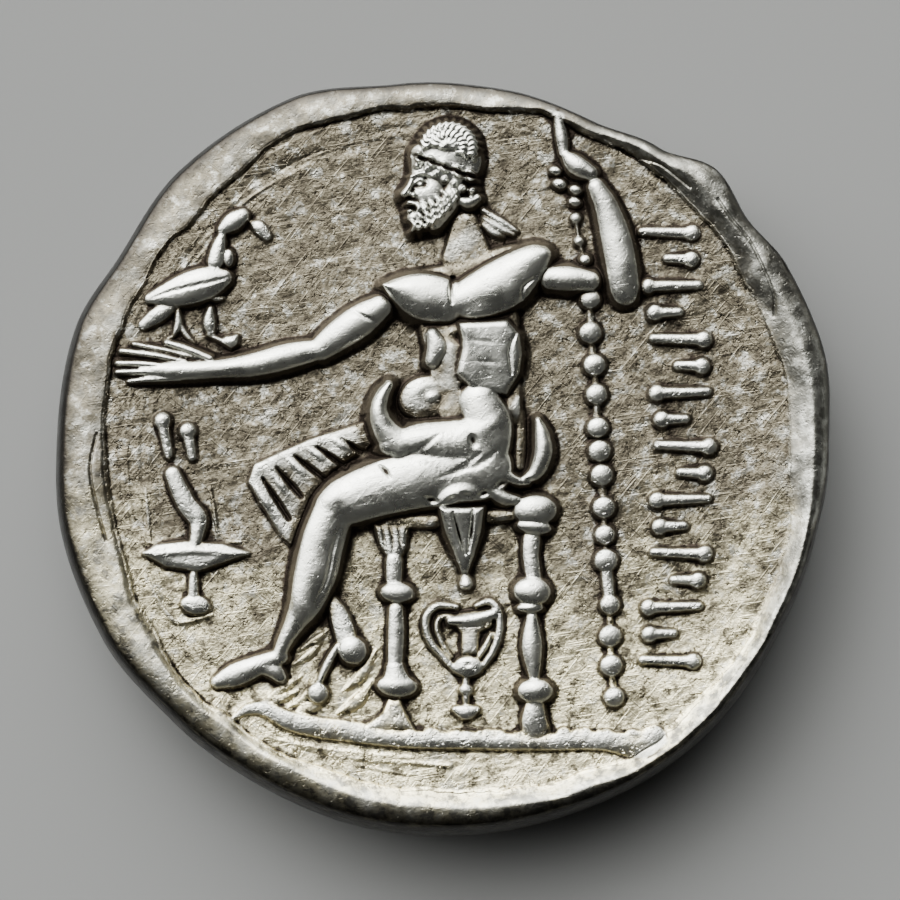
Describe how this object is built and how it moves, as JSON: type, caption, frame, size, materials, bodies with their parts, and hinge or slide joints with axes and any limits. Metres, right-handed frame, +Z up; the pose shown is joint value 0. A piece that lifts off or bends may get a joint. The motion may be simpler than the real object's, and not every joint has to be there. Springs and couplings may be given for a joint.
{
  "type": "ancient silver coin",
  "caption": "Thick struck silver coin with an uneven round outline, a seated god in relief on one side and a head in a lion's skin on the other.",
  "frame": {"origin": "centre of the outline's box, on the surface that the coin lies on", "axes": "+Z up, out of the back with the seated figure; +Y towards the figure's head; +X to the viewer's right, towards the inscription's place"},
  "size_m": [0.0266, 0.026, 0.0049],
  "materials": {
    "silver": "worn silver, dark toning in the recesses"
  },
  "bodies": {
    "root": {"silver_coin": "silver"}
  },
  "joints": []
}
